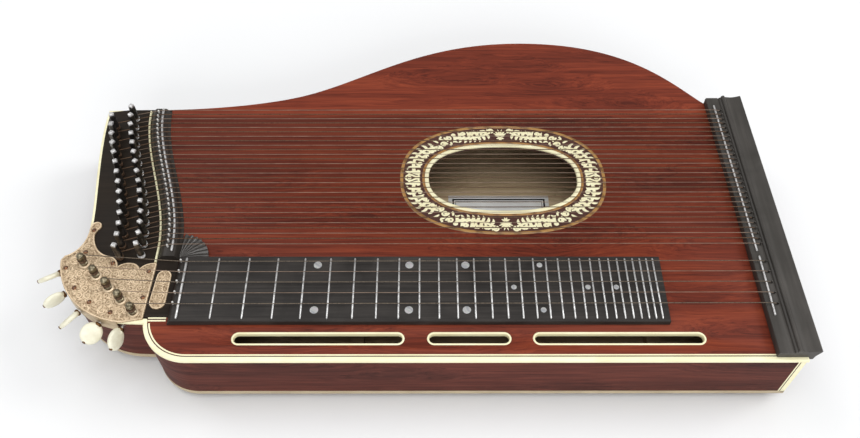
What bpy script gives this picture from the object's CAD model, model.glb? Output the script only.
"""Looks of the concert zither: finished surfaces, strings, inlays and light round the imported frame."""
import math
from bisect import bisect_left

import bmesh
import bpy
from mathutils import Matrix, Vector
from mathutils.geometry import tessellate_polygon


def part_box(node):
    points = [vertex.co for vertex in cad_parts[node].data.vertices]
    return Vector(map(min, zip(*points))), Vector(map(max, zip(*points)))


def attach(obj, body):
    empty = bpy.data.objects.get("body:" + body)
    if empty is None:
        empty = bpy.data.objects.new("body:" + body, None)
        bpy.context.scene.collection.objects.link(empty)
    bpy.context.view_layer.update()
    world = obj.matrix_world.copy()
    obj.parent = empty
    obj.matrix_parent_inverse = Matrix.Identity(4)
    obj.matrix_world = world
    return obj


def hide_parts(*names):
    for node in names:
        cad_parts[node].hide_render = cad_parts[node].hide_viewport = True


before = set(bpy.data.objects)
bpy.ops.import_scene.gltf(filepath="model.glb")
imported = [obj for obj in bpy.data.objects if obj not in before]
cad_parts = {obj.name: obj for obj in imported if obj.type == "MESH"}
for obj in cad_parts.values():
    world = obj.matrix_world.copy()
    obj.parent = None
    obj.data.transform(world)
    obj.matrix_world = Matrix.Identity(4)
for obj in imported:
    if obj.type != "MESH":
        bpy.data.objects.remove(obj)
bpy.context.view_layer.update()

# ---- Sizes and places --------------------------------------------
# Plan coordinates are millimetres: x along the strings from the nut, y from the front edge and
# z up from the feet. The fretboard's corner ties them to the frame.
MM = 0.001
BOARD_X = (-7.5, 351.0)
BOARD_Y = (28.4, 83.7)
BOARD_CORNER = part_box("fretboard")[0]
ORIGIN_X = BOARD_X[0] - BOARD_CORNER.x / MM
ORIGIN_Y = BOARD_Y[0] - BOARD_CORNER.y / MM


def at(x, y, z):
    """A plan point as a place in the frame, in metres."""
    return Vector(((x - ORIGIN_X) * MM, (y - ORIGIN_Y) * MM, z * MM))


def levels(node):
    """The heights of a CAD node's underside and top."""
    lo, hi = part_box(node)
    return lo.z / MM, hi.z / MM


Z_BACK, Z_RIBS = levels("back_plate")
Z_UNDER, Z_DECK = levels("soundboard")
Z_BOARD = levels("fretboard")[1]
Z_VENEER = levels("head_veneer")[1]
RAIL_H = 6.5
Z_RAIL = Z_DECK + RAIL_H
NUT_CROWN = Z_BOARD + 1.6
SADDLE_CROWN = Z_RAIL + 1.5
WORM_Z = Z_DECK - 6

# Plan of the body
BODY_LEN = 444
BODY_DEPTH = 246            # at the right end
END_SLANT = 4.7 / BODY_DEPTH
BINDING_W = 3.2
HEAD_C = (-35, 90.5)
HEAD_R = 60
REAR_Y = 237
HOLE_C = (239, 162.9)
HOLE_A, HOLE_B = 59.8, 33.1
HOLE_POWER = 2.4            # 2 would be an ellipse; more is squarer
ROSETTE_W = 22.7
SLOTS = ((39.9, 161.9), (177.7, 237.3), (252.4, 375))
SLOT_Y = (12.2, 22.6)
SCALE = 425
FRETS = 29
FRET_Y = (30.4, 81.6)
PINS = 29
MELODY = 5


# ---- Plane curves ------------------------------------------------
def mix(a, b, t):
    return a + (b - a) * t


def even(n, a, b):
    """n evenly spaced numbers from a to b."""
    return [mix(a, b, i / (n - 1)) for i in range(n)]


def bezier(p, n):
    """n points along a cubic, without its last one."""
    out = []
    for t in even(n + 1, 0, 1)[:-1]:
        s = 1 - t
        k = (s ** 3, 3 * s * s * t, 3 * s * t * t, t ** 3)
        out.append(tuple(sum(k[j] * p[j][axis] for j in range(4)) for axis in (0, 1)))
    return out


def polar(c, r, a):
    """The point at the distance r and the angle a, in radians, from c."""
    return (c[0] + r * math.cos(a), c[1] + r * math.sin(a))


def arc(c, r, a0, a1, n):
    """n steps round c, from a0 to a1 degrees."""
    return [polar(c, r, math.radians(a)) for a in even(n + 1, a0, a1)]


HEAD_CORNER = (-75, REAR_Y - 0.5)


def body_outline(fine):
    """The outline, anticlockwise from the right front corner; fine multiplies its steps."""
    return ([(BODY_LEN, 0), (BODY_LEN - BODY_DEPTH * END_SLANT, BODY_DEPTH)]
            + bezier([(416, BODY_DEPTH), (394.6, 267), (363, 320.3), (263, 320.3)], 20 * fine)
            + bezier([(263, 320.3), (170.5, 320.3), (124, 271.1), (70.4, 253.2)], 16 * fine)
            + bezier([(70.4, 253.2), (32, 240.4), (-25, REAR_Y), (-45, REAR_Y)], 16 * fine)
            + [(-45, REAR_Y), HEAD_CORNER]
            + bezier([(-92.5, 236.2), (-94.5, 195), (-82, 140), (-81, 112)], 14 * fine)
            + bezier([(-81, 112), (-80.5, 101), (-85, 89), (-94.8, 86.2)], 8 * fine)
            + arc(HEAD_C, HEAD_R, 187, 265, 24 * fine)
            + [(-24.7, 30.2)]
            + arc((10, 35), 35, 190, 270, 16 * fine))


OUTLINE = body_outline(3)
REAR_END = OUTLINE.index(HEAD_CORNER)

# The curve that the nut rail and the pins follow across the head
CURVE_Y = (92, REAR_Y - 1)
CURVE_X = -24.6
CURVE_SWING = 31.4


def curve_x(y):
    u = max(0.0, min(1.0, (y - CURVE_Y[0]) / (CURVE_Y[1] - CURVE_Y[0])))
    return CURVE_X - CURVE_SWING * u * u * (3 - 2 * u)


def inset(points, d, closed=True):
    """Every corner moved to the left of the direction of travel by d, mitred."""
    n = len(points)
    out = []
    for i, p in enumerate(points):
        before = points[i - 1] if closed or i > 0 else None
        after = points[(i + 1) % n] if closed or i < n - 1 else None
        normals = []
        for a, b in ((before, p), (p, after)):
            if a is not None and b is not None:
                dx, dy = b[0] - a[0], b[1] - a[1]
                length = math.hypot(dx, dy)
                normals.append((-dy / length, dx / length))
        if len(normals) == 1:
            out.append((p[0] + d * normals[0][0], p[1] + d * normals[0][1]))
            continue
        (ax, ay), (bx, by) = normals
        k = d / (1 + ax * bx + ay * by)
        out.append((p[0] + k * (ax + bx), p[1] + k * (ay + by)))
    return out


def fuller(v):
    """Turns an ellipse's sine or cosine into that of the sound hole, whose oval is squarer."""
    return math.copysign(abs(v) ** (2 / HOLE_POWER), v)


def oval_point(t, d):
    """A point d outside the sound hole's edge, measured from its centre; t is 0 at the right."""
    return (HOLE_A + d) * fuller(math.cos(t)), (HOLE_B + d) * fuller(math.sin(t))


def oval(d, n):
    """The line d outside the sound hole's edge, anticlockwise."""
    points = [oval_point(2 * math.pi * i / n, d) for i in range(n)]
    return [(HOLE_C[0] + x, HOLE_C[1] + y) for x, y in points]


def stadium(x, y, d=0.0, n=14):
    """A slot's outline drawn in by d, anticlockwise."""
    r = (y[1] - y[0]) / 2
    return (arc((x[1] - r, y[0] + r), r - d, -90, 90, n)
            + arc((x[0] + r, y[0] + r), r - d, 90, 270, n))


# ---- Meshes ------------------------------------------------------
POINT_R = 0.001         # radius of a turned form where it comes to a point
UP = Vector((0, 0, 1))


def level(points, z):
    """Plane points at the height z."""
    return [(x, y, z) for x, y in points]


def raised(profile, z):
    """A section's (inset, height) points with the heights counted from z."""
    return [(d, z + h) for d, h in profile]


def ellipse(centre, u, v, n):
    """n points round centre, with the vectors u and v as half axes."""
    turns = [2 * math.pi * i / n for i in range(n)]
    return [tuple(centre + u * math.cos(a) + v * math.sin(a)) for a in turns]


def place(name, data):
    """A new object in the scene."""
    thing = bpy.data.objects.new(name, data)
    bpy.context.scene.collection.objects.link(thing)
    return thing


class Shape:
    """Collects closed skins in plan coordinates and turns them into one piece."""

    def __init__(self):
        self.verts = []
        self.faces = []
        self.slots = []

    def add(self, verts, faces, slot=0):
        base = len(self.verts)
        self.verts += verts
        self.faces += [tuple(base + i for i in f) for f in faces]
        self.slots += [slot] * len(faces)

    def skin(self, rings, slot=0, looped=False, open_rings=False, capped=True):
        """Rings of equally many points joined in order; looped joins the last ring to the first."""
        n, m = len(rings), len(rings[0])
        faces = []
        for i in range(n if looped else n - 1):
            a, b = i * m, (i + 1) % n * m
            for j in range(m - 1 if open_rings else m):
                k = (j + 1) % m
                faces.append((a + j, a + k, b + k, b + j))
        if open_rings:
            faces.append(tuple(i * m for i in range(n)))
            faces.append(tuple(i * m + m - 1 for i in reversed(range(n))))
        elif capped and not looped:
            faces.append(tuple(reversed(range(m))))
            faces.append(tuple((n - 1) * m + j for j in range(m)))
        self.add([p for ring in rings for p in ring], faces, slot)

    def border(self, path, profile, slot=0, closed=True):
        """A section of (inset, z) points carried along a plane path."""
        rings = [level(inset(path, d, closed), z) for d, z in profile]
        self.skin(rings, slot, looped=True, open_rings=not closed)

    def tube(self, path, radius, sides=8, slot=0):
        """A round bar along points in space; radius is a number or one for each point."""
        points = [Vector(p) for p in path]
        last = len(points) - 1
        radii = radius if isinstance(radius, list) else [radius] * len(points)
        side = None
        rings = []
        for i, p in enumerate(points):
            ahead = (points[min(i + 1, last)] - points[max(i - 1, 0)]).normalized()
            if side is None:
                side = ahead.cross(UP if abs(ahead.z) < 0.9 else Vector((1, 0, 0)))
            side = (side - ahead * side.dot(ahead)).normalized()
            rings.append(ellipse(p, radii[i] * side, radii[i] * side.cross(ahead), sides))
        self.skin(rings, slot)

    def lathe(self, origin, profile, sides=24, slot=0, axis=UP):
        """A turned form of (radius, height) points; the first and last radius may be zero."""
        side = axis.orthogonal().normalized()
        up = axis.cross(side)
        rings = []
        for r, h in profile:
            r = max(r, POINT_R)
            rings.append(ellipse(Vector(origin) + axis * h, r * side, r * up, sides))
        self.skin(rings, slot)

    def plate(self, loops, z0, z1, bevel=0.3, slot=0):
        """A flat plate; loops[0] runs anticlockwise round it and the others clockwise round holes."""
        steps = [(0, z0), (0, z1 - bevel), (bevel * 0.3, z1 - bevel * 0.3), (bevel, z1)]
        for loop in loops:
            self.skin([level(inset(loop, d), z) for d, z in steps], slot, capped=False)
        for d, z, flip in ((0, z0, True), (bevel, z1, False)):
            flat = [[Vector(p) for p in level(inset(loop, d), z)] for loop in loops]
            faces = [tuple(reversed(t)) if flip else tuple(t) for t in tessellate_polygon(flat)]
            self.add([tuple(p) for loop in flat for p in loop], faces, slot)

    def box(self, lo, hi, bevel=0.2, slot=0):
        self.plate([[(lo[0], lo[1]), (hi[0], lo[1]), (hi[0], hi[1]), (lo[0], hi[1])]],
                   lo[2], hi[2], bevel, slot)

    def ribbon(self, path, widths, z, height, slot=0):
        """A low domed strip along a plane path, for inlay and engraving."""
        n = len(path)
        section = ((-0.5, 0.0), (-0.4, 0.7), (0.0, 1.0), (0.4, 0.7), (0.5, 0.0))
        rings = []
        for i, (x, y) in enumerate(path):
            ax, ay = path[max(i - 1, 0)]
            bx, by = path[min(i + 1, n - 1)]
            length = math.hypot(bx - ax, by - ay) or 1.0
            nx, ny = -(by - ay) / length, (bx - ax) / length
            rings.append([(x + nx * widths[i] * s, y + ny * widths[i] * s, z + height * h)
                          for s, h in section])
        self.skin(rings, slot)

    def build(self, name, materials, node, body="body", sharp=38):
        """The piece that is shown in place of the CAD node."""
        mesh = bpy.data.meshes.new(name)
        mesh.from_pydata([at(*v) for v in self.verts], [], self.faces)
        for material in materials:
            mesh.materials.append(material)
        mesh.polygons.foreach_set("material_index", self.slots)
        work = bmesh.new()
        work.from_mesh(mesh)
        bmesh.ops.remove_doubles(work, verts=work.verts, dist=1e-7)
        bmesh.ops.dissolve_degenerate(work, edges=work.edges, dist=1e-8)
        bmesh.ops.recalc_face_normals(work, faces=work.faces)
        work.to_mesh(mesh)
        work.free()
        mesh.shade_smooth()
        mesh.set_sharp_from_angle(angle=math.radians(sharp))
        piece = place(name, mesh)
        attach(piece, body)
        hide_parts(node)


# ---- Finishes ----------------------------------------------------
def rgb(r, g, b):
    """An sRGB colour of 0 to 255 as a linear one."""
    def linear(c):
        c /= 255
        return c / 12.92 if c <= 0.04045 else ((c + 0.055) / 1.055) ** 2.4
    return (linear(r), linear(g), linear(b), 1.0)


class Finish:
    """A material with short names for the nodes that it is made from. Coordinates are in metres,
    so a pattern's scale says how often it repeats in a metre."""

    def __init__(self, name, **sockets):
        self.material = bpy.data.materials.new(name)
        self.material.use_nodes = True
        self.tree = self.material.node_tree
        self.shader = self.tree.nodes["Principled BSDF"]
        for key, value in sockets.items():
            socket = key.replace("_", " ").title().replace("Ior", "IOR")
            self.shader.inputs[socket].default_value = value

    def link(self, value, socket):
        if isinstance(value, bpy.types.NodeSocket):
            self.tree.links.new(value, socket)
        else:
            socket.default_value = value

    def node(self, kind, inputs, **settings):
        """A new node with its settings, and the value or link that each input takes."""
        node = self.tree.nodes.new("ShaderNode" + kind)
        for key, value in settings.items():
            setattr(node, key, value)
        for key, value in inputs.items():
            self.link(value, node.inputs[key])
        return node

    def coords(self, scale=1):
        """The part's coordinates in metres, scaled evenly or by one number for each axis."""
        scales = scale if isinstance(scale, tuple) else (scale,) * 3
        spot = self.node("TexCoord", {}).outputs["Object"]
        return self.node("Mapping", {"Vector": spot, "Scale": scales}).outputs[0]

    def along(self, axis, low, high):
        """How far along one axis of the part, from 0 at low to 1 at high, both in metres."""
        spot = self.node("SeparateXYZ", {0: self.coords()}).outputs[axis]
        return self.node("MapRange", {"Value": spot, "From Min": low, "From Max": high}).outputs[0]

    def noise(self, vector, detail=3.0, roughness=0.55, distortion=0.0):
        inputs = {"Vector": vector, "Scale": 1, "Detail": detail, "Roughness": roughness,
                  "Distortion": distortion}
        return self.node("TexNoise", inputs).outputs["Fac"]

    def bands(self, vector, scale, distortion, detail=2.0):
        """Slanting bands."""
        inputs = {"Vector": vector, "Scale": scale, "Distortion": distortion, "Detail": detail}
        return self.node("TexWave", inputs, bands_direction="DIAGONAL").outputs["Fac"]

    def cells(self, vector, scale):
        """Distance to the nearest of many scattered points."""
        return self.node("TexVoronoi", {"Vector": vector, "Scale": scale}).outputs["Distance"]

    def ramp(self, value, *stops):
        """Each stop is a position with an sRGB colour or a grey from 0 to 1."""
        node = self.node("ValToRGB", {0: value})
        elements = node.color_ramp.elements
        while len(elements) < len(stops):
            elements.new(0.5)
        for element, (position, colour) in zip(elements, stops):
            element.position = position
            element.color = rgb(*colour) if isinstance(colour, tuple) else (colour,) * 3 + (1.0,)
        return node.outputs[0]

    def blend(self, factor, a, b, mode="MIX"):
        inputs = {0: factor, 6: a, 7: b}
        return self.node("Mix", inputs, data_type="RGBA", blend_type=mode).outputs[2]

    def maths(self, operation, a, b):
        return self.node("Math", {0: a, 1: b}, operation=operation).outputs[0]

    def mean(self, a, b, share=0.5):
        """a and b together, where b's share of the whole is given."""
        return self.maths("ADD", self.maths("MULTIPLY", a, 1 - share), self.maths("MULTIPLY", b, share))

    def pushed(self, vector, by, amounts):
        """vector moved by the value of by, times an amount for each axis."""
        inputs = {0: by, 1: amounts, 2: vector}
        return self.node("VectorMath", inputs, operation="MULTIPLY_ADD").outputs[0]

    def shifted(self, vector, amount, scale):
        """vector pushed about by a soft noise, so that straight patterns wander."""
        noise = self.node("TexNoise", {"Vector": vector, "Scale": scale}).outputs["Color"]
        return self.pushed(vector, noise, (amount,) * 3)

    def bump(self, height, strength, distance=0.0001):
        inputs = {"Height": height, "Strength": strength, "Distance": distance}
        return self.node("Bump", inputs).outputs[0]

    def done(self, colour, roughness=None, normal=None):
        for value, key in ((colour, "Base Color"), (roughness, "Roughness"), (normal, "Normal")):
            if value is not None:
                self.link(value, self.shader.inputs[key])
        return self.material


def wood(name, light, mid, dark, grain=(11, 420, 420), gloss=0.42, shine=0.2, eyes=(7.0, 26.0, 26.0),
         strip=None):
    """Figured wood. grain is how finely it varies along x, y and z, per metre, and eyes is how
    closely the dark knots lie, round which the grain flows. strip is from where to where, in Y, the
    wood is darker, as it is under the strings, where no cloth reaches."""
    f = Finish(name, specular_ior_level=shine)
    knot = f.cells(f.shifted(f.coords(eyes), 0.7, 1.1), 1.0)
    near = f.ramp(knot, (0.0, 1.0), (0.14, 0.6), (0.55, 0.0))
    flow = f.pushed(f.shifted(f.coords(grain), 2.6, 0.22), near, (0, 9, 9))
    fine = f.noise(flow, 8.0, 0.72, 0.5)
    broad = f.noise(f.shifted(f.coords(tuple(g * 0.13 for g in grain)), 0.8, 1.0), 4.0, 0.6, 0.8)
    tone = f.maths("SUBTRACT", f.mean(fine, broad, 0.4), f.maths("MULTIPLY", near, 0.16))
    colour = f.ramp(tone, (0.34, dark), (0.48, mid), (0.60, light))
    pore = f.noise(f.pushed(f.coords(tuple(g * 3.4 for g in grain)), near, (0, 30, 30)), 2.0, 0.5)
    pore = f.ramp(pore, (0.30, 0.62), (0.44, 1.0))
    colour = f.blend(0.85, colour, pore, "MULTIPLY")
    if strip:
        worn = f.ramp(f.along("Y", *strip), (0.0, 0.88), (0.04, 0.86), (0.26, 0.84), (0.42, 0.68),
                      (0.96, 0.68), (1.0, 1.0))
        colour = f.blend(1.0, colour, worn, "MULTIPLY")
    height = f.maths("ADD", pore, f.maths("MULTIPLY", fine, 0.4))
    return f.done(colour, f.ramp(fine, (0.2, gloss + 0.1), (0.8, gloss - 0.05)), f.bump(height, 0.16))


def lacquer(name, colour, worn, roughness=0.3, shine=0.35, grain=(14, 500, 500)):
    """Ebonised wood, with grain that shows faintly and rubbed places that are lighter."""
    f = Finish(name, specular_ior_level=shine)
    fine = f.noise(f.shifted(f.coords(grain), 1.2, 0.3), 5.0, 0.6)
    rub = f.noise(f.coords(22), 4.0, 0.6, 0.8)
    bare = f.ramp(f.maths("MULTIPLY", fine, rub), (0.18, 0.0), (0.42, 1.0))
    rough = f.ramp(rub, (0.3, roughness - 0.06), (0.75, roughness + 0.12))
    return f.done(f.blend(bare, rgb(*colour), rgb(*worn)), rough, f.bump(fine, 0.18))


def celluloid(name, colour, shade, roughness=0.28):
    """Ivory-coloured celluloid, with the faint streaks pressed into it."""
    f = Finish(name, coat_weight=0.2, coat_roughness=0.15)
    lines = f.noise(f.shifted(f.coords((30, 260, 260)), 0.8, 0.5), 4.0, 0.6)
    cloud = f.noise(f.coords(60), 3.0, 0.5)
    tint = f.ramp(f.mean(lines, cloud), (0.32, shade), (0.60, colour))
    return f.done(tint, f.ramp(cloud, (0.3, roughness), (0.7, roughness + 0.12)), f.bump(lines, 0.06))


def metal(name, colour, tarnish, roughness=0.25, spots=220, metallic=1.0):
    """Metal with clouds of tarnish; spots is how many of them there are in a metre."""
    f = Finish(name, metallic=metallic)
    cloud = f.noise(f.coords(spots), 5.0, 0.65, 0.6)
    scratch = f.noise(f.coords((spots * 9, spots * 0.8, spots * 4)), 3.0, 0.5)
    tint = f.ramp(cloud, (0.34, tarnish), (0.60, colour))
    rough = f.ramp(f.maths("MULTIPLY", cloud, scratch), (0.1, roughness + 0.2), (0.45, roughness))
    return f.done(tint, rough, f.bump(scratch, 0.12, 0.00005))


def wound_wire(name, colour, dark):
    """Wire covered with close turns, which dull it."""
    f = Finish(name, metallic=0.7)
    turns = f.noise(f.coords((2400, 300, 300)), 2.0, 0.5)
    return f.done(f.ramp(turns, (0.3, dark), (0.6, colour)), 0.5, f.bump(turns, 0.4))


def engraved(name, light, mid, dark):
    """Silvered brass with close scrolls cut into it and dirt left in the cuts."""
    f = Finish(name, metallic=0.35)
    scrolls = f.bands(f.shifted(f.coords(), 0.012, 190), 170, 4.0, 1.0)
    leaves = f.cells(f.shifted(f.coords(), 0.004, 300), 620)
    cuts = f.ramp(scrolls, (0.05, 0.2), (0.35, 0.85), (0.85, 1.0))
    veins = f.ramp(leaves, (0.12, 1.0), (0.45, 0.6), (0.8, 0.1))
    depth = f.mean(cuts, veins)
    tint = f.ramp(depth, (0.28, dark), (0.56, mid), (0.85, light))
    return f.done(tint, 0.45, f.bump(depth, 0.6, 0.0004))


def mother_of_pearl(name):
    f = Finish(name, roughness=0.18, coat_weight=0.6, coat_roughness=0.05)
    layers = f.bands(f.shifted(f.coords(), 0.004, 160), 60, 5.0)
    return f.done(f.ramp(layers, (0.0, (150, 152, 156)), (0.4, (180, 178, 175)), (0.7, (158, 166, 162)),
                         (1.0, (178, 172, 175))))


def twisted_band(name, colour, dark):
    """A narrow inlay of short slanting strips."""
    f = Finish(name, coat_weight=0.3, coat_roughness=0.2)
    strips = f.bands(f.coords(), 42, 2.5, 3.0)
    grain = f.noise(f.coords(300), 4.0, 0.6)
    tint = f.ramp(f.mean(strips, grain), (0.22, dark), (0.50, colour))
    return f.done(tint, 0.4, f.bump(strips, 0.1))


UNDER_STRINGS = (-0.068, 0.073)     # where the soundboard is darker, in the frame's Y
TOP_WOOD = wood("rosewood_top", (144, 66, 42), (119, 51, 34), (82, 34, 24), shine=0.14,
                strip=UNDER_STRINGS)
RIB_WOOD = wood("rosewood_ribs", (107, 54, 43), (86, 43, 35), (56, 28, 23), grain=(14, 14, 420),
                gloss=0.52, shine=0.1, eyes=(6.0, 6.0, 21.0))
BACK_WOOD = wood("rosewood_back", (132, 66, 47), (108, 50, 36), (74, 30, 21))
INNER_WOOD = wood("bare_maple", (220, 196, 160), (200, 176, 140), (170, 146, 114), gloss=0.65)

BLACK = lacquer("black_veneer", (33, 27, 21), (45, 37, 30), 0.44, 0.13)
EBONY = lacquer("ebony", (40, 37, 35), (62, 58, 55), 0.44, 0.2)
RAIL_BLACK = lacquer("ebonised_rail", (57, 54, 50), (76, 72, 68), 0.42, 0.34, (300, 14, 300))
NUT_BLACK = lacquer("ebonised_nut_rail", (46, 42, 38), (62, 57, 52), 0.42, 0.28, (300, 14, 300))
FAN_BLACK = lacquer("black_fan", (72, 69, 66), (104, 100, 96), 0.26, 0.6)
PURFLE = lacquer("brown_line", (58, 36, 28), (84, 56, 42), 0.4)
ROSETTE_GROUND = lacquer("rosette_ground", (70, 40, 34), (92, 56, 48), 0.4, grain=(200, 200, 200))
INK = lacquer("ink", (30, 28, 27), (52, 50, 48), 0.8, 0.1)

IVORY = celluloid("ivory_celluloid", (252, 247, 208), (238, 228, 184))
OLD_IVORY = celluloid("aged_ivory", (196, 178, 143), (168, 149, 116), 0.36)
BUTTON = celluloid("button_ivory", (238, 235, 213), (212, 206, 180), 0.3)
PAPER = celluloid("paper", (240, 240, 237), (222, 222, 219), 0.8)

NICKEL = metal("nickelled_steel", (222, 221, 220), (176, 175, 174), 0.3, metallic=0.8)
PIN_TIPS = metal("pin_tips", (226, 224, 220), (198, 196, 192), 0.3, metallic=0.3)
WIRE = metal("plain_wire", (148, 128, 112), (116, 98, 84), 0.45, 60, 0.7)
BLUED = metal("blued_steel", (112, 108, 104), (62, 58, 56), 0.26)
PLATE_EDGE = metal("plate_edge", (236, 214, 182), (204, 181, 149), 0.34, 160, 0.5)
SKIRT = metal("skirt_brass", (206, 188, 158), (170, 148, 118), 0.34, 60, 0.75)
COPPER = metal("screw_copper", (150, 108, 80), (104, 72, 54), 0.34, 400)
IRON = metal("aged_iron", (158, 148, 124), (84, 76, 60), 0.28, 300)
DARK_BRASS = metal("dark_brass", (128, 94, 60), (70, 48, 32), 0.36, 300)
BRONZE = wound_wire("bronze_winding", (108, 84, 64), (70, 54, 42))
GREY_WOUND = wound_wire("grey_winding", (120, 108, 94), (76, 66, 56))

ENGRAVED = engraved("engraved_plate", (204, 180, 148), (176, 152, 121), (138, 113, 84))
PEARL = mother_of_pearl("pearl")
TAN_BAND = twisted_band("tan_band", (172, 127, 66), (118, 82, 38))
BROWN_BAND = twisted_band("brown_band", (166, 120, 60), (120, 80, 36))


# ---- Box: soundboard, ribs, back, bindings -----------------------
def clockwise(loop):
    return list(reversed(loop))


def head_side(dx, y0, y1):
    """The pins' line, moved to the right by dx."""
    return [(curve_x(y) + dx, y) for y in even(61, y0, y1)]


HEAD_FOOT = 34.5        # the dark head's front edge
HEAD_DX = 17            # from the pins' line to the right edge of the dark veneer


def edge_loop(d_side, d_rear):
    """The outline drawn in by d_side, but by d_rear along the back edge."""
    a, b = inset(OUTLINE, d_side), inset(OUTLINE, d_rear)
    return [b[i] if 1 < i <= REAR_END else a[i] for i in range(len(OUTLINE))]


def soundboard():
    loop = edge_loop(BINDING_W, 0.0)
    rear_right = [p for i, p in enumerate(loop) if i <= REAR_END
                  and (p[1] < 230 or p[0] > curve_x(REAR_Y) + HEAD_DX)]
    front = [p for p in loop[REAR_END:] if p[1] < HEAD_FOOT - 4.4 and p[0] > -22]
    head = clockwise(head_side(HEAD_DX, HEAD_FOOT, REAR_Y - 0.2))
    outer = rear_right + head + [(-21.0, HEAD_FOOT)] + front
    s = Shape()
    holes = [clockwise(oval(ROSETTE_W, 120))] + [clockwise(stadium(x, SLOT_Y)) for x in SLOTS]
    s.plate([outer] + holes, Z_UNDER, Z_DECK, 0.15)
    s.build("soundboard_top", [TOP_WOOD], "soundboard")


def ribs():
    s = Shape()
    s.border(OUTLINE, [(1, Z_RIBS), (1, Z_UNDER), (6, Z_UNDER), (6, Z_RIBS)])
    s.build("ribs", [RIB_WOOD], "side_ribs")
    back = Shape()
    back.plate([inset(OUTLINE, 4)], Z_BACK, Z_RIBS - 0.4, 0.1)
    back.plate([inset(OUTLINE, 6.2)], Z_RIBS - 0.4, Z_RIBS, 0.05, 1)
    back.build("back", [BACK_WOOD, INNER_WOOD], "back_plate")


def bindings():
    s = Shape()
    rim = OUTLINE[REAR_END:] + OUTLINE[:2]
    s.border(rim, [(BINDING_W, Z_UNDER), (0, Z_UNDER)] + raised(
        [(0, -0.8), (0.12, -0.35), (0.4, -0.1), (0.9, 0.03), (BINDING_W, 0.03)], Z_DECK), 0, closed=False)
    # Bottom edge, a little proud of the ribs
    low = raised([(4, 0), (1.5, 0), (0.9, 0.2), (0.75, 0.8)], Z_BACK)
    s.border(OUTLINE, low + raised([(0.75, 1), (1.2, 1.2), (4, 1.2)], Z_RIBS), 1)
    # Brown and ivory lines inside the front binding
    front = [p for p in OUTLINE[REAR_END:] if p[1] < 30 and p[0] > -24.6] + [OUTLINE[0]]
    for d0, d1, proud, slot in ((BINDING_W, 4.0, 0.02, 2), (4.0, 5.1, 0.05, 0)):
        top = Z_DECK + proud
        s.border(front, [(d0, Z_UNDER), (d1, Z_UNDER), (d1, top), (d0, top)], slot, closed=False)
    # Three lines across the foot of the head
    for y, proud, slot in ((31.2, 0.25, 0), (32.3, 0.23, 2), (33.3, 0.25, 0)):
        s.box((-21.4, y, Z_UNDER), (BOARD_X[0] - 1.0, y + 1.1, Z_DECK + proud), 0.08, slot)
    # Upright strips at the two right corners
    for y0, y1, lines in ((0.75, 4.2, True), (241.9, 245.25, False)):
        x1 = BODY_LEN - 0.75 - END_SLANT * y0
        s.box((x1 - 3.4, y0, Z_RIBS), (x1, y1, Z_UNDER), 0.1, 0)
        if lines:
            s.box((x1 - 4.1, y0 + 0.15, Z_RIBS), (x1 - 3.4, y1, Z_UNDER), 0.05, 2)
            s.box((x1 - 5.1, y0 + 0.1, Z_RIBS), (x1 - 4.1, y1, Z_UNDER), 0.05, 0)
    # Linings of the three slots
    lining = [(0, Z_UNDER - 0.6)] + raised(
        [(0, -0.1), (0.35, 0.22), (0.8, 0.28), (1.3, 0.1), (1.5, -0.4)], Z_DECK) + [(1.5, Z_UNDER - 0.6)]
    for x in SLOTS:
        s.skin([level(stadium(x, SLOT_Y, d), z) for d, z in lining], 0, looped=True)
    # Bead beside the nut rail
    line = [(curve_x(y), y) for y in even(71, 80.8, REAR_Y - 3.4)]
    s.border(line, raised([(-0.8, -0.4), (-0.8, 1.2), (-0.45, 2.0), (0, 2.3), (0.45, 2.0), (0.8, 1.2),
                           (0.8, -0.4)], Z_VENEER), 0, closed=False)
    s.build("bindings", [IVORY, OLD_IVORY, PURFLE], "edge_bindings")


def head():
    """The dark veneer of the head, up to the binding."""
    side = edge_loop(2.1, 0.0)[REAR_END:]
    left = [p for p in side if p[1] > HEAD_FOOT]
    s = Shape()
    right = head_side(HEAD_DX, HEAD_FOOT, REAR_Y - 0.2)
    s.plate([right + left + [(-21.4, HEAD_FOOT)]], Z_DECK - 0.8, Z_VENEER, 0.15)
    s.build("head_top", [BLACK], "head_veneer")


# ---- Sound hole --------------------------------------------------
SCROLL_IN, SCROLL_OUT = 5.6, 20.0       # the scrollwork lies between these, outside the hole
QUARTER_STEPS = 400


def quarter_table():
    """Length and angle along the middle of the scroll band, from its right end to the back."""
    middle = (SCROLL_IN + SCROLL_OUT) / 2
    angles = even(QUARTER_STEPS + 1, 0, math.pi / 2)
    table = [(0.0, 0.0)]
    for t0, t1 in zip(angles, angles[1:]):
        table.append((table[-1][0] + math.dist(oval_point(t0, middle), oval_point(t1, middle)), t1))
    return table


QUARTER = quarter_table()
QUARTER_LEN = QUARTER[-1][0]


def on_band(s, v, sx, sy):
    """The place s along one quarter and v across it, from -1 at the hole to 1 outside.

    sx and sy are 1 or -1 and say which quarter; a stroke may run past either end of it."""
    way = -sy if s < 0 else sy
    over = abs(s) > QUARTER_LEN
    s_in = 2 * QUARTER_LEN - abs(s) if over else abs(s)
    k = max(1, min(QUARTER_STEPS, bisect_left(QUARTER, (s_in, 0.0))))
    (s0, t0), (s1, t1) = QUARTER[k - 1:k + 1]
    t = mix(t0, t1, (s_in - s0) / (s1 - s0))
    x, y = oval_point(math.pi - t if over else t, mix(SCROLL_IN, SCROLL_OUT, (v + 1) / 2))
    return (HOLE_C[0] + sx * x, HOLE_C[1] + way * y)


HALF_BAND = (SCROLL_OUT - SCROLL_IN) / 2


def spiral(c, r0, r1, a0, turns, n=26):
    """A spiral round c from radius r0 to r1, which starts at a0 degrees."""
    return [polar(c, mix(r0, r1, t), math.radians(a0 + 360 * turns * t)) for t in even(n + 1, 0, 1)]


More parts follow.
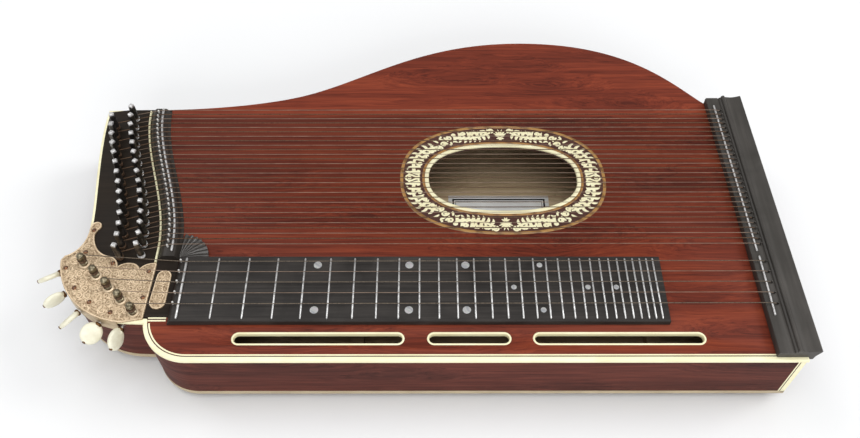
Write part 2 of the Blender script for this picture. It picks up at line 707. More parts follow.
def leaf(start, angle, length, bend=0.0, n=8):
    """A line from start that sets out at an angle and bends, both in degrees."""
    a, b = math.radians(angle), math.radians(bend)
    return [polar(start, length * t, a + b * t) for t in even(n + 1, 0, 1)]


def taper(n, wide, ends=0.15):
    """Widths of a leaf: narrow, full, narrow."""
    return [wide * max(ends, math.sin(math.pi * min(1.0, 0.12 + 0.88 * i / (n - 1))) ** 0.7)
            for i in range(n)]


def scroll_strokes():
    """Strokes of one quarter, as (points, widths), in millimetres along and across the band."""
    strokes = []

    def draw(points, widths):
        strokes.append((points, widths))

    def leaf_stroke(x, y, angle, length, wide, bend=0.0):
        points = leaf((x, y), angle, length, bend)
        draw(points, taper(len(points), wide))

    def curl(x, y, r, a0, turns, wide):
        """A spiral with a dot in its eye."""
        points = spiral((x, y), r, 0.55, a0, turns)
        draw(points, even(len(points), wide, wide * 0.75))
        draw(spiral((x, y), 0.35, 0.1, 0, 1, 8), [0.75] * 9)

    def plume(start, length, f):
        """A leafy scroll: a bowed rib with lobes of uneven length, and curls between them."""
        rib = [(start + length * t, f * (4.8 * math.sin(math.pi * (0.1 + 0.88 * t)) - 2.8))
               for t in even(25, 0, 1)]
        draw(rib, even(25, 2.2, 1.3))
        for i in range(0, 24, 3):
            (x, y), (x1, y1) = rib[i], rib[i + 1]
            way = math.degrees(math.atan2(y1 - y, x1 - x))
            outer, inner = 6.6 - f * y, 6.6 + f * y
            vary = math.sin(2.1 * i)
            if outer > 1.5:
                leaf_stroke(x, y, way + (44 + 22 * vary) * f, min(5.6, outer * (1.05 + 0.3 * vary)),
                            1.9 + 0.5 * vary, (60 - 80 * vary) * f)
            if i % 6 == 0:
                r = min(2.2, inner * 0.27)
                curl(x + 1.5, y - f * (inner - r - 1.1), r, 100 * f, 1.2 * f, 1.4)
                leaf_stroke(x + 0.6, y, way - 80 * f, inner - 2.4 * r, 1.5, -30 * f)
            else:
                leaf_stroke(x, y, way - (52 + 20 * vary) * f, inner * 0.9, 2.1, (90 * vary - 40) * f)
                leaf_stroke(x + 1.0, y - 0.5 * f * inner, way + 70 * vary * f, 2.8, 1.7, -60 * f)
        x, y = rib[-1]
        curl(x + 0.4, y - 2.2 * f, 2.3, 80 * f, -1.2 * f, 1.3)

    # Half of the palmette on the axis at each end
    draw([(0, 5.6), (1.7, 4.9), (2.9, 3.0), (2.7, 0.6), (1.6, -1.6), (1.1, -3.6), (2.2, -5.6)],
         [1.0, 1.3, 1.5, 1.3, 1.2, 1.3, 1.5])
    draw(spiral((0, 2.4), 1.15, 1.15, 0, 1, 14), [0.75] * 15)
    draw([(0, 6.3), (0, 6.9)], [1.2, 0.6])
    leaf_stroke(0, -1.6, -90, 4.6, 1.6)
    leaf_stroke(3.4, -5.6, 62, 7.6, 1.7, 16)
    leaf_stroke(4.2, -5.9, 40, 6.4, 1.5, 26)
    leaf_stroke(5.0, 0.6, 74, 5.6, 1.7, 10)
    # Two plumes, with a pair of curls and a small flower between them
    middle = (QUARTER_LEN + 5) / 2
    plume(5.8, middle - 15.5, 1)
    plume(middle + 7.6, QUARTER_LEN - middle - 15.6, -1)
    for f in (-1, 1):
        curl(middle + 3.6 * f, 2.5 * f, 2.8, 60 + 90 * f, 1.3, 1.35)
        leaf_stroke(middle + 0.6 * f, -1.2 * f, 90 - 48 * f, 4.2, 1.3, 20 * f)
        leaf_stroke(middle + 6.4 * f, -0.8 * f, -90 * f, 4.2, 1.4, 24)
        leaf_stroke(middle + 2.8 * f, -2.4 * f, -90 * f, 3.6, 1.4, -24)
        leaf_stroke(middle - 0.8 * f, 4.4 * f, 90 * f, 2.0, 1.3)
    # Half of the upright palmette on the axis at the front and back
    for angle, length in ((90, 7.8), (113, 7.2), (137, 6.0), (163, 4.4)):
        leaf_stroke(QUARTER_LEN - 0.3, -1.6, angle, length, 1.25, 10)
    for angle in (-90, -138):
        leaf_stroke(QUARTER_LEN - 0.2, -2.6, angle, 3.6, 1.25, -16)
    return strokes


STROKE_SCALE = 1.4      # how much broader the strokes are cut than they are drawn
STROKE_H = 0.36
STROKE_STEP = 0.003     # each stroke is this much higher than the last, so that none flicker
STROKE_RISE = 0.05      # at this much the steps start again


def rosette():
    s = Shape()
    ground = Z_UNDER - Z_DECK
    bands = ([(0, ground), (ROSETTE_W, ground), (ROSETTE_W, 0.02), (0, 0.02)],
             [(20.3, -0.3), (20.3, 0.12), (20.9, 0.3), (22.1, 0.3), (22.7, 0.12), (22.7, -0.3)],
             [(3.1, -0.3), (3.1, 0.15), (3.5, 0.34), (4.5, 0.34), (5.0, 0.12), (5.0, -0.3)],
             [(0.1, -1.1), (-0.25, -0.9), (-0.25, -0.1), (0.1, 0.35), (0.8, 0.6), (2.0, 0.6),
              (2.7, 0.36), (3.0, 0.1), (3.0, -0.3)])
    for slot, band in enumerate(bands):
        s.skin([level(oval(d, 200), z) for d, z in raised(band, Z_DECK)], slot, looped=True)
    lift = 0.0
    for points, widths in scroll_strokes():
        for sx, sy in ((-1, -1), (-1, 1), (1, -1), (1, 1)):
            path = [on_band(x, max(-1.0, min(1.0, y / HALF_BAND)), sx, sy) for x, y in points]
            lift = (lift + STROKE_STEP) % STROKE_RISE
            s.ribbon(path, [STROKE_SCALE * w for w in widths], Z_DECK - 0.05, STROKE_H + lift, 3)
    finishes = [ROSETTE_GROUND, TAN_BAND, BROWN_BAND, IVORY]
    s.build("rosette_inlay", finishes, "rosette", sharp=50)


def label():
    lo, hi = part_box("label")
    x0, y0 = lo.x / MM + ORIGIN_X, lo.y / MM + ORIGIN_Y
    x1, y1 = hi.x / MM + ORIGIN_X, hi.y / MM + ORIGIN_Y
    z = hi.z / MM
    s = Shape()
    s.box((x0, y0, z - 0.3), (x1, y1, z), 0.05, 0)
    # A broad and a narrow ruled line round it
    for gap, width in ((3.4, 1.5), (6.0, 0.4)):
        path = inset([(x0, y0), (x1, y0), (x1, y1), (x0, y1)], gap)
        s.border(path, raised([(0, -0.1), (0, 0.06), (width, 0.06), (width, -0.1)], z), 1)
    s.build("paper_label", [PAPER, INK], "label")


# ---- Rails and fretboard -----------------------------------------
NUT_RAIL_Y = (84, REAR_Y - 3.4)
FAN_R = 21
FAN_FOLDS = 8


def fan():
    """Rows of points over the pleated fan between the nut rail and the fretboard."""
    corner = (BOARD_X[0] + 0.6, NUT_RAIL_Y[0])
    rows = []
    for t in even(9, 0, 1):
        row = []
        for a in even(FAN_FOLDS * 12 + 1, 0, math.pi / 2):
            fold = abs(math.sin(a * 2 * FAN_FOLDS))
            r = mix(0.5, FAN_R, t) * (1 + 0.02 * fold * t)
            z = Z_DECK + mix(3.2, 1.0, t) + 1.8 * fold * min(1.0, 1.6 * t)
            row.append((*polar(corner, r, a), z))
        rows.append(row)
    return rows


def nut_rail():
    s = Shape()
    crown = [(4.4, -1.0), (5.4, -0.2), (6.4, 0), (13.2, 0), (14.2, -0.4), (14.9, -1.4)]
    section = (raised([(1.3, -0.2), (1.8, 1.2), (3.0, 2.6)], Z_VENEER) + raised(crown, Z_BOARD)
               + raised([(15.3, 2.4), (16.2, 1.2), (17.6, 0.5), (17.6, -0.2)], Z_DECK))
    s.skin([[(curve_x(y) + dx, y, z) for dx, z in section] for y in even(91, *NUT_RAIL_Y)], 0)
    top = fan()
    foot = [[(x, y, Z_DECK - 0.2) for x, y, z in row] for row in (top[-1], top[0])]
    s.skin(top + foot, 1, looped=True, open_rings=True)
    s.build("nut_rail_moulding", [NUT_BLACK, FAN_BLACK], "nut_rail", sharp=30)


NUT_R = 0.95
FRET_R = 0.72
DOT_Y = 56.8
DOT_DY = 19.1


def fret_x(n):
    """How far fret n is from the nut, in equal temperament."""
    return SCALE * (1 - 2 ** (-n / 12))


def fretboard():
    s = Shape()
    (left, right), (front, back) = BOARD_X, BOARD_Y
    rings = []
    for d, slope, z in ((0, 0, Z_DECK), (0, 2.6, Z_BOARD - 0.9), (0.1, 3.1, Z_BOARD - 0.35),
                        (0.35, 3.5, Z_BOARD - 0.08), (0.8, 3.9, Z_BOARD)):
        x0, x1, y0, y1 = left + slope, right - d, front + d, back - d
        rings.append(level([(x0, y0), (x1, y0), (x1, y1), (x0, y1)], z))
    s.skin(rings)
    s.build("fingerboard", [EBONY], "fretboard", sharp=25)

    wires = Shape()
    (y0, y1), scale = FRET_Y, [0.35, 0.8, 1.0, 1.0, 0.8, 0.35]
    for n in range(FRETS + 1):
        r, crown = (FRET_R, Z_BOARD + 1.0) if n else (NUT_R, NUT_CROWN)
        ys = [y0, y0 + 0.25, y0 + 0.8, y1 - 0.8, y1 - 0.25, y1]
        wires.tube([(fret_x(n), y, crown - 2 * r + r * k) for y, k in zip(ys, scale)],
                   [r * k for k in scale], 12)
    wires.build("fret_wires", [NICKEL], "frets")

    dots = Shape()
    pair, single = (-DOT_DY, DOT_DY), (0,)
    for space, r, offsets in ((5, 3, pair), (9, 3, pair), (12, 3, pair), (17, 2.1, pair),
                              (15, 2, single), (21, 2, single), (24, 2, single)):
        x = (fret_x(space) + fret_x(space - 1)) / 2
        for dy in offsets:
            dots.lathe((x, DOT_Y + dy, Z_BOARD),
                       [(r, -0.5), (r, 0.02), (r - 0.15, 0.05), (r * 0.5, 0.08), (0, 0.09)], 28)
    dots.build("pearl_dots", [PEARL], "fret_markers")


RAIL_X0 = 421.4
RAIL_Y = (2.6, 245.6)
RAIL_W = 29.3


def rail_inner(y):
    """The hitch rail's inner edge, which slants as the body's end does."""
    return RAIL_X0 - END_SLANT * y


def rail_profile():
    """The moulding's section, from its inner foot over the top to its outer foot."""
    flat = [(0, 0)] + raised([(0, -1.2), (0.3, -0.4), (1.1, 0), (10.2, 0), (10.4, -0.15), (10.6, -0.6),
                              (11.0, -0.6), (11.2, -0.05), (11.6, 0.3), (12.6, 0.75)], RAIL_H)
    bead = arc((14.3, RAIL_H + 1.4), 1.6, 165, 0, 14)
    cove = [(mix(15.9, 28.2, t), RAIL_H + mix(1.5, 2.6, t) - 4.6 * t * (1 - t))
            for t in even(17, 0, 1)[1:]]
    lip = raised([(28.8, 2.55), (RAIL_W, 2.0), (RAIL_W, 1.2), (28.2, -1.6)], RAIL_H)
    return flat + bead + cove + lip + [(26.6, 1.5), (26, -3), (22.9, -3), (22.9, 0)]


def hitch_rail():
    s = Shape()
    section = raised(rail_profile(), Z_DECK)
    s.skin([[(rail_inner(y) + u, y, z) for u, z in section] for y in even(9, *RAIL_Y)])
    s.build("hitch_rail_moulding", [RAIL_BLACK], "hitch_rail", sharp=50)


# ---- Strings -----------------------------------------------------
# The accompaniment strings are counted by j from the back, the melody strings by i likewise
ACC_Y = (93.4, 4.88)        # y of the front one, and their spacing
ACC_R = (0.25, 0.38)        # plain and wound, in turn
MELODY_Y = (77.8, -9.03)
MELODY_R = (0.34, 0.25)     # wound and plain, in turn
MELODY_GUIDE_X = -4
MELODY_SADDLE_Y = (32, 82.6)
ACC_SADDLE_Y = (86.8, 236)
GUIDE_DX = 8.1              # from the pins' line to the guide pins
NUT_WIRE_DX = 11.7          # and to the nut wire
SADDLE_R = 0.82
PIN_R = 0.8
EYE_R = 0.16
GAP = 0.04                  # between a string and what it rests on

TUNING_COLUMNS = ((11.3, 224.5, 9.84), (27, 215.1, 10))     # left of the line, first y, spacing
TUNING_R = 2.45
TUNING_TOP = Z_DECK + 19
COIL_R = TUNING_R + 0.5     # outside of the winding on a tuning pin
COIL_Z = Z_DECK + 1.6
COIL_H = 2.2
POST_FIRST = (-76.9, 79.4)
POST_STEP = (11.07, -10.4)
POST_R = 2.2
POST_TOP = Z_DECK + 13.5


def acc_y(j):
    return ACC_Y[0] + ACC_Y[1] * (PINS - 1 - j)


def acc_r(j):
    return ACC_R[j % 2]


def melody_y(i):
    return MELODY_Y[0] + MELODY_Y[1] * i


def melody_r(i):
    return MELODY_R[i % 2]


def tuning_xy(j):
    dx, y0, step = TUNING_COLUMNS[j % 2]
    y = y0 - step * (j // 2)
    return (curve_x(y) - dx, y)


def post_xy(k):
    return (POST_FIRST[0] + POST_STEP[0] * k, POST_FIRST[1] + POST_STEP[1] * k)


def saddle_x(y, melody):
    return SCALE if melody else rail_inner(y) + 4.8


def hitch_xy(y, melody):
    return (saddle_x(y, melody) + (4.2 if melody else 4.6), y)


def rounded_bar(shape, points, r, sides=12):
    """A round bar whose end points have half its radius."""
    shape.tube(points, [r * k for k in [0.5] + [1.0] * (len(points) - 2) + [0.5]], sides)


def saddles():
    s = Shape()
    y0, y1 = NUT_RAIL_Y[0] + 4, REAR_Y - 4
    ys = [y0, y0 + 0.4] + even(61, y0 + 0.8, y1 - 0.8) + [y1 - 0.4, y1]
    rounded_bar(s, [(curve_x(y) + NUT_WIRE_DX, y, NUT_CROWN - NUT_R) for y in ys], NUT_R)
    for melody, (y0, y1) in ((True, MELODY_SADDLE_Y), (False, ACC_SADDLE_Y)):
        ys = [y0, y0 + 0.3, y0 + 0.9, y1 - 0.9, y1 - 0.3, y1]
        rounded_bar(s, [(saddle_x(y, melody), y, SADDLE_CROWN - SADDLE_R) for y in ys], SADDLE_R, 14)
    s.build("saddle_rods", [NICKEL], "saddle_wires")


def string_pins():
    """Guide pins at the head and smaller hitch pins on the rail, one of each for every string."""
    guide = [(PIN_R, -1), (PIN_R, 2.3), (PIN_R * 0.92, 2.7), (PIN_R * 0.6, 3.05), (0, 3.2)]
    hitch = [(r * 0.75, h * 0.8) for r, h in guide]
    s = Shape()
    for j in range(PINS):
        y = acc_y(j) - PIN_R - acc_r(j) - GAP
        s.lathe((curve_x(y) + GUIDE_DX, y, Z_BOARD), guide, 12, 0)
        s.lathe((*hitch_xy(acc_y(j), False), Z_RAIL), hitch, 12, 1)
    for i in range(MELODY):
        s.lathe((MELODY_GUIDE_X, melody_y(i) + PIN_R + melody_r(i) + GAP, Z_BOARD), guide, 12, 0)
        s.lathe((*hitch_xy(melody_y(i), True), Z_RAIL), hitch, 12, 1)
    s.build("guide_and_hitch_pins", [PIN_TIPS, BLUED], "string_pins")


def leave(c, p, r):
    """Where a string leaves the winding of radius r round c, on the left of its way to p."""
    dx, dy = p[0] - c[0], p[1] - c[1]
    length = math.hypot(dx, dy)
    return (c[0] - r * dy / length, c[1] + r * dx / length)


def loop_end(shape, x, y, z):
    """The eye of a string round its hitch pin."""
    rings = []
    for px, py in arc((x, y), PIN_R, 0, 337.5, 15):
        out = Vector((px - x, py - y, 0)).normalized()
        rings.append(ellipse(Vector((px, py, z)), EYE_R * out, EYE_R * UP, 6))
    shape.skin(rings, 3, looped=True)


def string(shape, post, coil, z, guide, nut_x, r, melody, slot):
    """One string, from its winding of radius coil on the post, past the guide, to its hitch pin."""
    y = guide[1]
    start = leave(post, guide, coil + r + 2 * GAP)
    hitch_x = hitch_xy(y, melody)[0]
    hitch_z = Z_RAIL + r + 0.5
    path = [(*start, z), guide, (nut_x, y, NUT_CROWN + r + GAP),
            (saddle_x(y, melody), y, SADDLE_CROWN + r + GAP), (hitch_x - PIN_R - 0.3, y, hitch_z)]
    shape.tube(path, r, 8, slot)
    loop_end(shape, hitch_x, y, hitch_z)


def strings():
    s = Shape()
    for j in range(PINS):
        y, r = acc_y(j), acc_r(j)
        x = curve_x(y)
        string(s, tuning_xy(j), COIL_R, COIL_Z + COIL_H - r, (x + GUIDE_DX, y, Z_BOARD + 1.2),
               x + NUT_WIRE_DX, r, False, j % 2)
    for i in range(MELODY):
        string(s, post_xy(i), POST_R + 0.9, Z_BOARD + 3, (MELODY_GUIDE_X, melody_y(i), Z_BOARD + 2.2),
               0, melody_r(i), True, 0 if i % 2 else 2)
    s.build("string_set", [WIRE, BRONZE, GREY_WOUND, BLUED], "strings")


# ---- Tuning pins and machines ------------------------------------
HELIX_STEPS = 14        # in each turn
CORNER_CUT = 0.22


def helix(c, r, z0, z1, turns, start):
    """A winding of radius r round c, from z0 up to z1, which starts at an angle in radians."""
    return [(*polar(c, r, start + 2 * math.pi * turns * t), mix(z0, z1, t))
            for t in even(turns * HELIX_STEPS + 1, 0, 1)]


def cut_square(c, half, turn, z):
    """A square round c with its corners cut off, turned by an angle in radians."""
    side = half * (1 - CORNER_CUT)
    out = []
    for quarter in range(4):
        a = turn + math.pi / 2 * quarter
        x, y = polar(c, half, a)
        for along in (-side, side):
            out.append((*polar((x, y), along, a + math.pi / 2), z))
    return out


def tuning_pin(j):
    c = tuning_xy(j)
    s = Shape()
    neck = TUNING_TOP - 7
    s.lathe((*c, 0), [(0, Z_DECK - 29.9), (TUNING_R, Z_DECK - 29.5)] + raised(
        [(TUNING_R, -0.9), (TUNING_R - 0.25, -0.4), (TUNING_R - 0.25, 0.2), (0, 0.3)], neck), 20, 1)
    # Square head: blued below, worn bright at the top. Each pin was left at its own angle.
    turn = math.radians(20 + 37 * j)
    rings = [cut_square(c, half, turn + math.pi / 4, z) for half, z in (
        (2.05, neck), (2.08, neck + 0.5), (1.9, TUNING_TOP - 1.5), (1.78, TUNING_TOP - 0.6),
        (1.5, TUNING_TOP - 0.1), (1.1, TUNING_TOP))]
    s.skin(rings[:3], 1)
    s.skin(rings[2:], 0)
    wire = acc_r(j)
    slot = 2 if j % 2 else 0
    winding = COIL_R - wire
    foot = COIL_Z - 0.6
    s.tube(helix(c, winding, foot, COIL_Z + COIL_H - wire, 4, turn), wire, 6, slot)
    # The end of the wire, turned into the hole through the pin
    path = [(*polar(c, winding, turn), foot), (*polar(c, TUNING_R + 0.2, turn - 0.5), foot - 0.1),
            (*c, foot - 0.1)]
    s.tube(path, wire * 0.9, 6, slot)
    name = f"tuning_pin_{j + 1:02d}"
    s.build(f"{name}_finished", [NICKEL, BLUED, BRONZE], name, name, 30)


TUNER_ANGLES = (208, 12)                # degrees: the first tuner's direction, and the step
WORM_OFF = 6                            # from a post's axis to its worm's
WORM_THREADS = 3
WHEEL_TEETH = 14
WHEEL_R = 4.2
WORM_LEN = WORM_THREADS * 2 * math.pi * WHEEL_R / WHEEL_TEETH
THREAD_STEPS = 60
PLATE_R = HEAD_R + 1.02
BUTTON_REACH = 79
BUTTON_R = 8.2
BUTTON_LONG, BUTTON_WIDE = 1.03, 0.92   # its half axes, in radii
BUTTON_TURN = (51, 80, 52, -35, -76)    # degrees from lying flat, as they were left


def tuner_angle(k):
    return math.radians(TUNER_ANGLES[0] + TUNER_ANGLES[1] * k)


def tuner_foot(k):
    """The middle of the worm, beside the post."""
    return polar(post_xy(k), WORM_OFF, tuner_angle(k) - math.pi / 2)


def reach(k, r):
    """From beside the post along the tuner to the circle of radius r round the head."""
    a = tuner_angle(k)
    fx, fy = tuner_foot(k)[0] - HEAD_C[0], tuner_foot(k)[1] - HEAD_C[1]
    b = fx * math.cos(a) + fy * math.sin(a)
    return math.sqrt(b * b - fx * fx - fy * fy + r * r) - b


def tuner(k):
    a = tuner_angle(k)
    along = Vector((math.cos(a), math.sin(a), 0))
    side = Vector((-math.sin(a), math.cos(a), 0))
    origin = Vector((*tuner_foot(k), WORM_Z))
    rim, tip = reach(k, PLATE_R), reach(k, BUTTON_REACH)
    half = WORM_LEN / 2
    s = Shape()
    s.lathe(origin, [(0, -half - 2.9), (1.0, -half - 2.8), (1.0, -half), (1.3, -half), (1.3, rim + 4),
                     (0, rim + 4.1)], 16, 1, along)
    thread = []
    for t in even(THREAD_STEPS + 1, 0, 1):
        q = 2 * math.pi * WORM_THREADS * t
        out = side * math.cos(q) + UP * math.sin(q)
        thread.append(origin + along * mix(-half, half, t) + 1.5 * out)
    s.tube(thread, 0.55, 6, 1)
    # Collar, tapered neck, paddle and the tip of the shaft
    collar = [(1.2, 0.9), (2.3, 1.1), (2.6, 1.6), (2.6, 2.7), (2.3, 3.3), (1.2, 3.4)]
    neck = [(1.2, 3.3), (2.2, 3.4), (2.3, 4.0), (1.9, 5.2), (1.0, 6.4)]
    s.lathe(origin, raised(collar, rim), 20, 2, along)
    s.lathe(origin, raised(neck, rim), 20, 0, along)
    spin = math.radians(BUTTON_TURN[k])
    flat = side * math.cos(spin) + UP * math.sin(spin)      # across the paddle's face
    thick = along.cross(flat)
    centre = origin + along * (tip - BUTTON_R)
    dome = ((2.0, 0.02), (1.95, 0.35), (1.75, 0.78), (1.3, 0.93), (0.6, 0.99))
    rings = []
    for lift, grow in [(-h, g) for h, g in dome] + [(0, 1.0)] + list(reversed(dome)):
        r = grow * BUTTON_R
        rings.append(ellipse(centre + thick * lift, BUTTON_LONG * r * along, BUTTON_WIDE * r * flat, 40))
    s.skin(rings, 0)
    s.lathe(origin, raised([(0.6, -1.0), (1.35, -0.6), (1.35, 0.25), (0.8, 0.6), (0, 0.7)], tip),
            14, 2, along)
    name = f"tuner_{k + 1}"
    s.build(f"{name}_finished", [BUTTON, NICKEL, DARK_BRASS], name, name, 40)


def worm_wheel(s, c, start):
    """A wheel round c with one tooth at the angle start, and a bevel above and below."""
    flank = ((3.6, -10), (3.95, -7.2), (WHEEL_R, -4.5), (4.42, -1.9))
    tooth = flank + tuple((r, -off) for r, off in reversed(flank))
    outline = [(r, start + math.radians(n * 360 / WHEEL_TEETH + off))
               for n in range(WHEEL_TEETH) for r, off in tooth]
    s.skin([[(*polar(c, r - bevel, a), z) for r, a in outline]
            for bevel, z in raised([(0.2, -0.9), (0, -0.7), (0, 0.7), (0.2, 0.9)], WORM_Z)], 1)


def string_post(k):
    c = post_xy(k)
    s = Shape()
    foot = [(0, -4), (1.6, -3.9), (1.6, -0.9), (POST_R, -0.9)]
    neck = [(POST_R, 2.6), (2.9, 2.9), (2.9, 3.7), (2.15, 4.3), (2.0, 8.8)]
    knob = [(2.2, -4.4), (2.7, -4.0), (2.7, -1.5), (2.3, -0.8), (1.3, -0.15), (0, 0)]
    s.lathe((*c, 0), raised(foot, WORM_Z) + raised(neck, Z_DECK) + raised(knob, POST_TOP), 24, 0)
    worm_wheel(s, c, tuner_angle(k) - math.pi / 2)
    wire = melody_r(k)
    s.tube(helix(c, POST_R + wire - 0.1, Z_DECK + 4.6, Z_BOARD + 3.4, 7, 1.0), wire, 6, 2)
    s.tube(helix(c, POST_R + 0.55 + wire, Z_BOARD + 2.2, Z_BOARD + 3.2, 2, 1.6), wire, 6, 2)
    name = f"string_post_{k + 1}"
    s.build(f"{name}_finished", [IRON, DARK_BRASS, BRONZE], name, name, 35)


SCREWS = ((-78.5, 90), (-90, 76), (-79.5, 58.5), (-66, 46.5), (-49, 38), (-28, 50.4), (-28, 73),
          (-56, 80), (-76.5, 110))
PLATE_T = 1


def plate_edge(fine):
    return (arc(HEAD_C, PLATE_R, 187, 265, 30 * fine)
            + [(-25, 32.6), (-23.2, 79)]
            + bezier([(-23.6, 80.3), (-29, 81), (-33, 79), (-35.3, 75.4)], 6 * fine)
            + bezier([(-35.3, 75.4), (-37.5, 82), (-48.5, 82), (-52, 77.2)], 8 * fine)
            + bezier([(-52, 77.2), (-52, 82), (-56, 86), (-60, 86.6)], 5 * fine)
            + bezier([(-60, 86.6), (-69, 88), (-75, 97), (-75.4, 108.6)], 8 * fine)
            + arc((-75.8, 114.2), 4, -60, 180, 14 * fine)
            + bezier([(-80.4, 111.5), (-79.5, 101), (-84, 89), (-95.4, 86.2)], 8 * fine))


def inside(p, loop):
    """Whether the point lies within the closed outline."""
    odd = False
    for (x0, y0), (x1, y1) in zip(loop, loop[1:] + loop[:1]):
        if (y0 > p[1]) != (y1 > p[1]) and p[0] < x0 + (p[1] - y0) * (x1 - x0) / (y1 - y0):
            odd = not odd
    return odd


def plate_scrolls(s, edge, top):
    """Rows of scrolls with leaves round them, which stand a little above the plate's ground."""
    field = inset(edge, 1.7)
    kept_clear = [(post_xy(k), 4.4) for k in range(MELODY)] + [(p, 2.0) for p in SCREWS]

    def draw(points, widths):
        clear = all(math.dist(p, c) > r for p in points for c, r in kept_clear)
        if clear and all(inside(p, field) for p in points):
            s.ribbon(points, widths, top - 0.06, 0.24, 1)

    step_x, step_y = 6.6, 6.2
    for row in range(13):
        for column in range(15):
            x = -98 + step_x * (column + row % 2 / 2)
            y = 33.5 + step_y * row
            way = 1 if (row + column) % 2 else -1
            a0 = 97 * row + 61 * column
            points = spiral((x, y), 2.7, 0.4, a0, 1.35 * way, 20)
            draw(points, even(len(points), 0.85, 0.5))
            for i in range(5):
                a = a0 + way * (72 * i + 25)
                points = leaf(polar((x, y), 3.0, math.radians(a)), a + 45 * way, 2.2, 50 * way, 5)
                draw(points, taper(len(points), 0.9))


def machine_plate():
    s = Shape()
    top = Z_VENEER + PLATE_T
    edge = plate_edge(2)
    holes = [clockwise(arc(post_xy(k), POST_R + 0.15, 0, 345, 23)) for k in range(MELODY)]
    # Small plate with round ends beside the fretboard
    end = arc((-15.9, 68.5), 5.4, 2, 178, 20) + arc((-17, 46.9), 6, 182, 358, 20)
    rim = [(0.1, -0.3), (0.35, 0.1), (0.7, 0.18), (1.05, 0.1), (1.3, -0.3)]
    end_rim = [(0.1, -0.3), (0.3, 0.08), (0.6, 0.14), (0.9, 0.08), (1.1, -0.3)]
    for outline, cut, section in ((edge, holes, rim), (end, [], end_rim)):
        s.plate([outline] + cut, Z_VENEER, top, 0.3, 0)
        s.border(outline, raised(section, top), 1)
        plate_scrolls(s, outline, top)
    # Raised eyelets round the posts
    for k in range(MELODY):
        eyelet = raised([(2.45, -0.2), (2.6, 0.55), (3.4, 0.5), (4.1, -0.1), (2.45, -0.2)], top)
        s.skin([level(arc(post_xy(k), r, 0, 345, 23), z) for r, z in eyelet], 1, looped=True)
    # Skirt round the head
    skirt = (raised([(1.0, 0), (0.0, 0), (-0.15, 0.5), (0, 1.0)], Z_VENEER - 11)
             + raised([(0, 0.2), (1.0, 0.2)], Z_VENEER))
    s.border(arc(HEAD_C, PLATE_R, 188, 262, 90), skirt, 2, closed=False)
    s.build("machine_plate_engraved", [ENGRAVED, PLATE_EDGE, SKIRT], "machine_plate",
            sharp=40)


def screws():
    s = Shape()
    top = Z_VENEER + PLATE_T
    head = [(1.75, -0.3), (1.75, 0.1), (1.5, 0.45), (0.9, 0.72), (0, 0.82)]
    for n, (x, y) in enumerate(SCREWS):
        s.lathe((x, y, top), head, 20, 0)
        # The slot, which was left at its own angle
        dx, dy = math.cos(0.7 * n), math.sin(0.7 * n)
        slot = [(x + 1.5 * u * dx - 0.2 * v * dy, y + 1.5 * u * dy + 0.2 * v * dx)
                for u, v in ((-1, 1), (-1, -1), (1, -1), (1, 1))]
        s.plate([slot], top, top + 0.84, 0.02, 1)
    s.build("screw_heads", [COPPER, BLUED], "plate_screws")


FEET = ((-62, 214), (22, 36), (415, 36), (408, 226))


def feet():
    s = Shape()
    profile = [(0, 0), (3.0, 0), (3.4, 0.4), (3.6, 1.3), (4.6, 2.1), (6.6, 3.2), (7.3, 4.2), (7.4, 5.0),
               (7.1, 5.8), (6.6, 6.1), (7.0, 6.5), (7.0, 7.1), (0, 7.1)]
    for x, y in FEET:
        s.lathe((x, y, 0), profile, 32)
    s.build("turned_feet", [BLACK], "feet", sharp=30)


for make in (soundboard, ribs, bindings, head, rosette, label, nut_rail, fretboard, hitch_rail, saddles,
             string_pins, strings):
    make()
for index in range(PINS):
    tuning_pin(index)
for index in range(MELODY):
    tuner(index)
    string_post(index)
for make in (machine_plate, screws, feet):
    make()
# The wood inside the body keeps its CAD shape
for node in ("pin_block", "tail_block", "braces"):
    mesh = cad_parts[node].data
    mesh.materials.clear()
    mesh.materials.append(INNER_WOOD)


# ---- Floor, light and camera -------------------------------------
MIDDLE = Vector((0, 0, 0.05))       # where the lights point


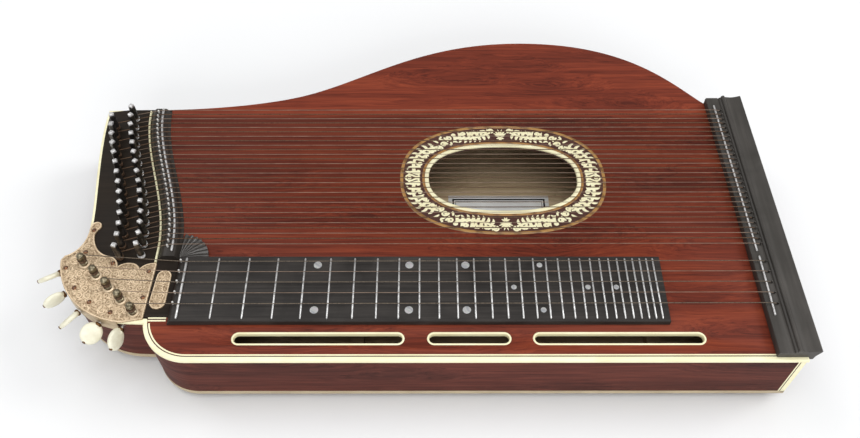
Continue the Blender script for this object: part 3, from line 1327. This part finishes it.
def area_light(name, location, size, power):
    """A soft box of a width and height, aimed at the middle."""
    data = bpy.data.lights.new(name, "AREA")
    data.shape = "RECTANGLE"
    data.size, data.size_y = size
    data.energy = power
    lamp = place(name, data)
    lamp.location = location
    lamp.rotation_euler = (MIDDLE - Vector(location)).to_track_quat("-Z", "Y").to_euler()


def stage():
    half = 6.0
    mesh = bpy.data.meshes.new("floor")
    corners = [(-half, -half, 0), (half, -half, 0), (half, half, 0), (-half, half, 0)]
    mesh.from_pydata(corners, [], [(0, 1, 2, 3)])
    f = Finish("pale_floor", roughness=0.9)
    cloud = f.noise(f.coords(3), 2.0, 0.5)
    mesh.materials.append(f.done(f.ramp(cloud, (0, (238, 239, 240)), (1, (241, 242, 243)))))
    place("floor", mesh)

    world = bpy.data.worlds.new("studio")
    bpy.context.scene.world = world
    world.use_nodes = True
    background = world.node_tree.nodes["Background"]
    background.inputs["Color"].default_value = (1, 1, 1, 1)
    background.inputs["Strength"].default_value = 0.38
    area_light("key", (-4.4, 3.6, 7.2), (3.6, 3.6), 112)
    area_light("overhead", (0.3, -0.8, 8.0), (7.7, 6.4), 328)
    area_light("right_fill", (6.4, 1.6, 5.2), (3.2, 3.2), 176)
    area_light("front_fill", (1.2, -7.2, 3.6), (6.4, 3.2), 264)


LENS_MM = 36.05
CAMERA_AT = (175.4, -273.0, 601.2)      # plan coordinates
CAMERA_PITCH = 53.79                    # degrees down
CAMERA_YAW = -0.701
CAMERA_ROLL = 0.592


def turned(degrees, axis):
    return Matrix.Rotation(math.radians(degrees), 4, axis)


def camera():
    """The photograph's view, from above the front edge."""
    data = bpy.data.cameras.new("camera")
    data.lens = LENS_MM
    data.sensor_width = 36
    data.clip_start, data.clip_end = 0.01, 50
    cam = place("camera", data)
    turn = turned(CAMERA_YAW, "Z") @ turned(90 - CAMERA_PITCH, "X") @ turned(CAMERA_ROLL, "Z")
    cam.matrix_world = Matrix.Translation(at(*CAMERA_AT)) @ turn
    bpy.context.scene.camera = cam


stage()
camera()
bpy.context.scene.view_settings.view_transform = "Standard"
